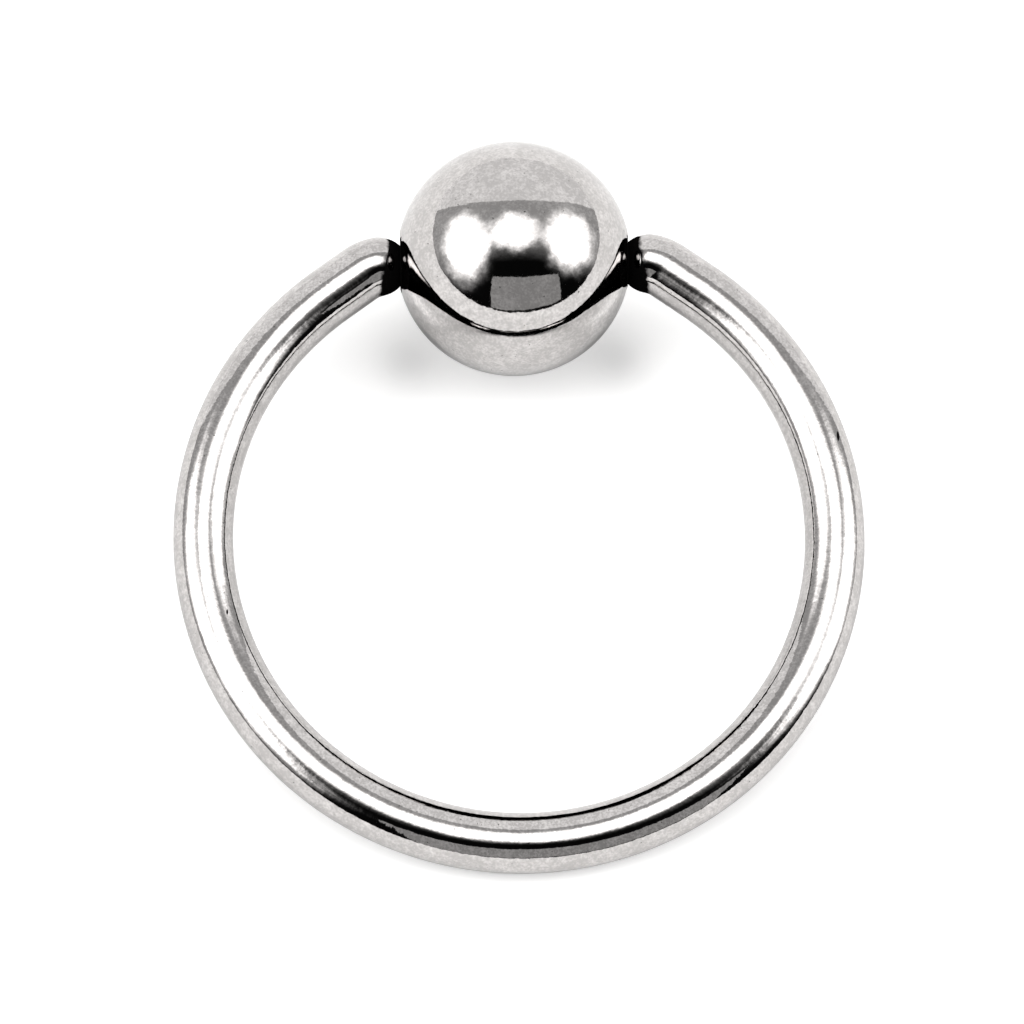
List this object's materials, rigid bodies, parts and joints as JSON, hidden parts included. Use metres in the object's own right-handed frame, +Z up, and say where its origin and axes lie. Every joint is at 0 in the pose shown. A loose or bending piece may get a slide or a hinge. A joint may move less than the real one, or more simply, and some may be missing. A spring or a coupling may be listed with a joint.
{
  "type": "captive bead ring",
  "caption": "Open round wire ring whose rounded ends grip a dimpled ball that closes it, in mirror-polished steel, for wearing through a piercing.",
  "frame": {"origin": "middle of the outline seen from above, on the surface that the ring lies on", "axes": "+X along the line through both wire ends, which is the bead's axis; +Y from the plain side of the ring towards the bead; +Z up"},
  "size_m": [0.023, 0.025, 0.0079],
  "materials": {
    "ring_steel": "mirror-polished stainless steel wire",
    "bead_steel": "mirror-polished stainless steel ball"
  },
  "bodies": {
    "ring": {"ring": "ring_steel"},
    "bead": {"bead": "bead_steel"}
  },
  "joints": [
    {"name": "bead_spin", "type": "hinge", "parent": "ring", "child": "bead", "pos_m": [0, 0.00853, 0.00397], "axis": [1, 0, 0], "continuous": true}
  ]
}
